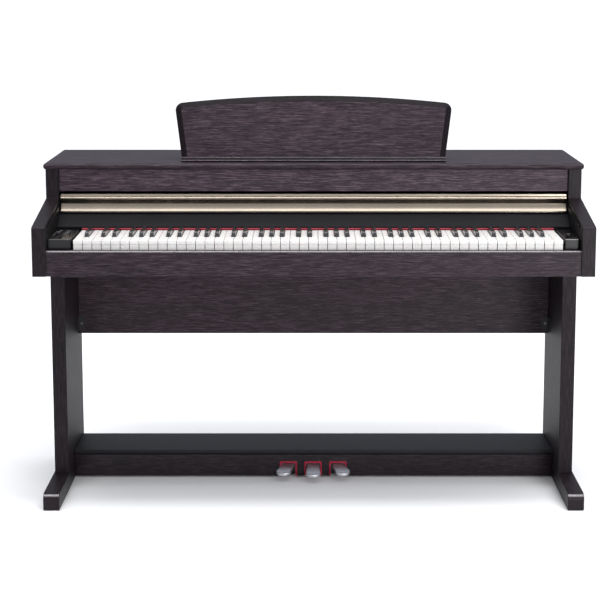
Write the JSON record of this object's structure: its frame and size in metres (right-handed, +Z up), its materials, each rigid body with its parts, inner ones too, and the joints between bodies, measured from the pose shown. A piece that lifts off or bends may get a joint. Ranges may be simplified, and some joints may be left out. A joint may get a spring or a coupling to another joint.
{
  "type": "digital piano on stand",
  "caption": "Console digital piano on a panel stand, with a sliding key cover, folding music rest, full keyboard and pedals.",
  "frame": {"origin": "centre of the bounding box on the floor", "axes": "+X to the right seen from the front, -Y to the player, +Z up"},
  "size_m": [1.404, 0.544, 1.0551],
  "materials": {
    "rosewood": "satin lacquer over fine dark rosewood grain",
    "dark_board": "satin dark board",
    "black_satin": "satin black",
    "black_plastic": "matte black",
    "black_metal": "black powder coat",
    "red_felt": "wool felt",
    "steel": "zinc plated",
    "circuit_board": "solder mask",
    "gold_metal": "champagne anodised, satin",
    "pedal_chrome": "satin chrome",
    "control_grey": "matte dark grey",
    "white_key": "smooth white",
    "black_key": "satin black"
  },
  "bodies": {
    "cabinet": {"left_side_panel": "rosewood", "right_side_panel": "rosewood", "top_lid": "rosewood", "front_panel": "rosewood", "fallboard": "black_satin", "back_panel": "dark_board", "keybed": "rosewood", "front_rail": "rosewood", "left_cheek_block": "black_satin", "right_cheek_block": "black_satin", "felt_strip": "red_felt", "key_frame": "steel", "main_board": "circuit_board", "power_supply": "steel", "speakers": "black_plastic", "speaker_grilles": "black_plastic", "rest_hinges": "steel", "jack_blocks": "black_plastic", "left_leg": "rosewood", "right_leg": "rosewood", "left_foot": "rosewood", "right_foot": "rosewood", "foot_glides": "black_plastic", "modesty_panel": "rosewood", "corner_brackets": "black_metal", "pedal_front_board": "rosewood", "pedal_top_board": "dark_board", "pedal_felts": "red_felt", "pedal_frame": "steel", "screws": "steel"},
    "cover": {"key_cover": "dark_board", "cover_handle": "gold_metal"},
    "rest": {"music_rest": "rosewood", "rest_ledge": "rosewood", "rest_leaves": "steel"},
    "stays": {"rest_stays": "steel"},
    "left_pedal": {"left_pedal": "pedal_chrome"},
    "middle_pedal": {"middle_pedal": "pedal_chrome"},
    "right_pedal": {"right_pedal": "pedal_chrome"},
    "volume_slider": {"volume_slider": "control_grey"},
    "power_button": {"power_button": "control_grey"},
    "voice_button": {"voice_button": "control_grey"},
    "tempo_button": {"tempo_button": "control_grey"},
    "record_button": {"record_button": "control_grey"},
    "low_white_keys": {"low_white_keys": "white_key"},
    "low_black_keys": {"low_black_keys": "black_key"},
    "high_white_keys": {"high_white_keys": "white_key"},
    "high_black_keys": {"high_black_keys": "black_key"},
    "key_c_4": {"key_c_4": "white_key"},
    "key_c_sharp_4": {"key_c_sharp_4": "black_key"},
    "key_d_4": {"key_d_4": "white_key"},
    "key_d_sharp_4": {"key_d_sharp_4": "black_key"},
    "key_e_4": {"key_e_4": "white_key"},
    "key_f_4": {"key_f_4": "white_key"},
    "key_f_sharp_4": {"key_f_sharp_4": "black_key"},
    "key_g_4": {"key_g_4": "white_key"},
    "key_g_sharp_4": {"key_g_sharp_4": "black_key"},
    "key_a_4": {"key_a_4": "white_key"},
    "key_a_sharp_4": {"key_a_sharp_4": "black_key"},
    "key_b_4": {"key_b_4": "white_key"}
  },
  "joints": [
    {"name": "cover_slide", "type": "slide", "parent": "cabinet", "child": "cover", "axis": [0, -0.9877, -0.1564], "range_m": [0, 0.205]},
    {"name": "rest_fold", "type": "hinge", "parent": "cabinet", "child": "rest", "pos_m": [0, 0.0015, 0.89], "axis": [-1, 0, 0], "range_deg": [0, 76]},
    {"name": "stay_fold", "type": "hinge", "parent": "cabinet", "child": "stays", "pos_m": [0, 0.058, 0.887], "axis": [-1, 0, 0], "range_deg": [0, 123.72]},
    {"name": "left_pedal_press", "type": "hinge", "parent": "cabinet", "child": "left_pedal", "pos_m": [-0.069, 0.158, 0.033], "axis": [1, 0, 0], "range_deg": [0, 7], "stiffness_Nm_per_rad": 12, "springref_deg": -14.32},
    {"name": "middle_pedal_press", "type": "hinge", "parent": "cabinet", "child": "middle_pedal", "pos_m": [-0.001, 0.158, 0.033], "axis": [1, 0, 0], "range_deg": [0, 7], "stiffness_Nm_per_rad": 12, "springref_deg": -14.32},
    {"name": "right_pedal_press", "type": "hinge", "parent": "cabinet", "child": "right_pedal", "pos_m": [0.067, 0.158, 0.033], "axis": [1, 0, 0], "range_deg": [0, 7], "stiffness_Nm_per_rad": 12, "springref_deg": -14.32},
    {"name": "volume_slide", "type": "slide", "parent": "cabinet", "child": "volume_slider", "axis": [0, 1, 0], "range_m": [-0.025, 0.025]},
    {"name": "power_button_press", "type": "slide", "parent": "cabinet", "child": "power_button", "axis": [0, 0, -1], "range_m": [0, 0.0012], "stiffness_N_per_m": 400, "springref_m": -0.001},
    {"name": "voice_button_press", "type": "slide", "parent": "cabinet", "child": "voice_button", "axis": [0, 0, -1], "range_m": [0, 0.0012], "stiffness_N_per_m": 400, "springref_m": -0.001},
    {"name": "tempo_button_press", "type": "slide", "parent": "cabinet", "child": "tempo_button", "axis": [0, 0, -1], "range_m": [0, 0.0012], "stiffness_N_per_m": 400, "springref_m": -0.001},
    {"name": "record_button_press", "type": "slide", "parent": "cabinet", "child": "record_button", "axis": [0, 0, -1], "range_m": [0, 0.0012], "stiffness_N_per_m": 400, "springref_m": -0.001},
    {"name": "low_white_keys_press", "type": "hinge", "parent": "cabinet", "child": "low_white_keys", "pos_m": [-0.33, -0.027, 0.7], "axis": [1, 0, 0], "range_deg": [0, 2.7], "stiffness_Nm_per_rad": 13.8, "springref_deg": -17.19},
    {"name": "low_black_keys_press", "type": "hinge", "parent": "cabinet", "child": "low_black_keys", "pos_m": [-0.33, -0.027, 0.7], "axis": [1, 0, 0], "range_deg": [0, 2.7], "stiffness_Nm_per_rad": 8, "springref_deg": -17.19},
    {"name": "high_white_keys_press", "type": "hinge", "parent": "cabinet", "child": "high_white_keys", "pos_m": [0.364, -0.027, 0.7], "axis": [1, 0, 0], "range_deg": [0, 2.7], "stiffness_Nm_per_rad": 13.2, "springref_deg": -17.19},
    {"name": "high_black_keys_press", "type": "hinge", "parent": "cabinet", "child": "high_black_keys", "pos_m": [0.364, -0.027, 0.7], "axis": [1, 0, 0], "range_deg": [0, 2.7], "stiffness_Nm_per_rad": 7.5, "springref_deg": -17.19},
    {"name": "key_c_4_press", "type": "hinge", "parent": "cabinet", "child": "key_c_4", "pos_m": [-0.04775, -0.027, 0.7], "axis": [1, 0, 0], "range_deg": [0, 2.7], "stiffness_Nm_per_rad": 0.6, "springref_deg": -17.19},
    {"name": "key_c_sharp_4_press", "type": "hinge", "parent": "cabinet", "child": "key_c_sharp_4", "pos_m": [-0.036, -0.027, 0.7], "axis": [1, 0, 0], "range_deg": [0, 2.7], "stiffness_Nm_per_rad": 0.5, "springref_deg": -17.19},
    {"name": "key_d_4_press", "type": "hinge", "parent": "cabinet", "child": "key_d_4", "pos_m": [-0.02425, -0.027, 0.7], "axis": [1, 0, 0], "range_deg": [0, 2.7], "stiffness_Nm_per_rad": 0.6, "springref_deg": -17.19},
    {"name": "key_d_sharp_4_press", "type": "hinge", "parent": "cabinet", "child": "key_d_sharp_4", "pos_m": [-0.0125, -0.027, 0.7], "axis": [1, 0, 0], "range_deg": [0, 2.7], "stiffness_Nm_per_rad": 0.5, "springref_deg": -17.19},
    {"name": "key_e_4_press", "type": "hinge", "parent": "cabinet", "child": "key_e_4", "pos_m": [-0.00075, -0.027, 0.7], "axis": [1, 0, 0], "range_deg": [0, 2.7], "stiffness_Nm_per_rad": 0.6, "springref_deg": -17.19},
    {"name": "key_f_4_press", "type": "hinge", "parent": "cabinet", "child": "key_f_4", "pos_m": [0.02275, -0.027, 0.7], "axis": [1, 0, 0], "range_deg": [0, 2.7], "stiffness_Nm_per_rad": 0.6, "springref_deg": -17.19},
    {"name": "key_f_sharp_4_press", "type": "hinge", "parent": "cabinet", "child": "key_f_sharp_4", "pos_m": [0.0345, -0.027, 0.7], "axis": [1, 0, 0], "range_deg": [0, 2.7], "stiffness_Nm_per_rad": 0.5, "springref_deg": -17.19},
    {"name": "key_g_4_press", "type": "hinge", "parent": "cabinet", "child": "key_g_4", "pos_m": [0.04625, -0.027, 0.7], "axis": [1, 0, 0], "range_deg": [0, 2.7], "stiffness_Nm_per_rad": 0.6, "springref_deg": -17.19},
    {"name": "key_g_sharp_4_press", "type": "hinge", "parent": "cabinet", "child": "key_g_sharp_4", "pos_m": [0.058, -0.027, 0.7], "axis": [1, 0, 0], "range_deg": [0, 2.7], "stiffness_Nm_per_rad": 0.5, "springref_deg": -17.19},
    {"name": "key_a_4_press", "type": "hinge", "parent": "cabinet", "child": "key_a_4", "pos_m": [0.06975, -0.027, 0.7], "axis": [1, 0, 0], "range_deg": [0, 2.7], "stiffness_Nm_per_rad": 0.6, "springref_deg": -17.19},
    {"name": "key_a_sharp_4_press", "type": "hinge", "parent": "cabinet", "child": "key_a_sharp_4", "pos_m": [0.0815, -0.027, 0.7], "axis": [1, 0, 0], "range_deg": [0, 2.7], "stiffness_Nm_per_rad": 0.5, "springref_deg": -17.19},
    {"name": "key_b_4_press", "type": "hinge", "parent": "cabinet", "child": "key_b_4", "pos_m": [0.09325, -0.027, 0.7], "axis": [1, 0, 0], "range_deg": [0, 2.7], "stiffness_Nm_per_rad": 0.6, "springref_deg": -17.19}
  ],
  "couplings": [
    {"joint": "stay_fold", "follows": "rest_fold", "ratio": 1.6272}
  ]
}
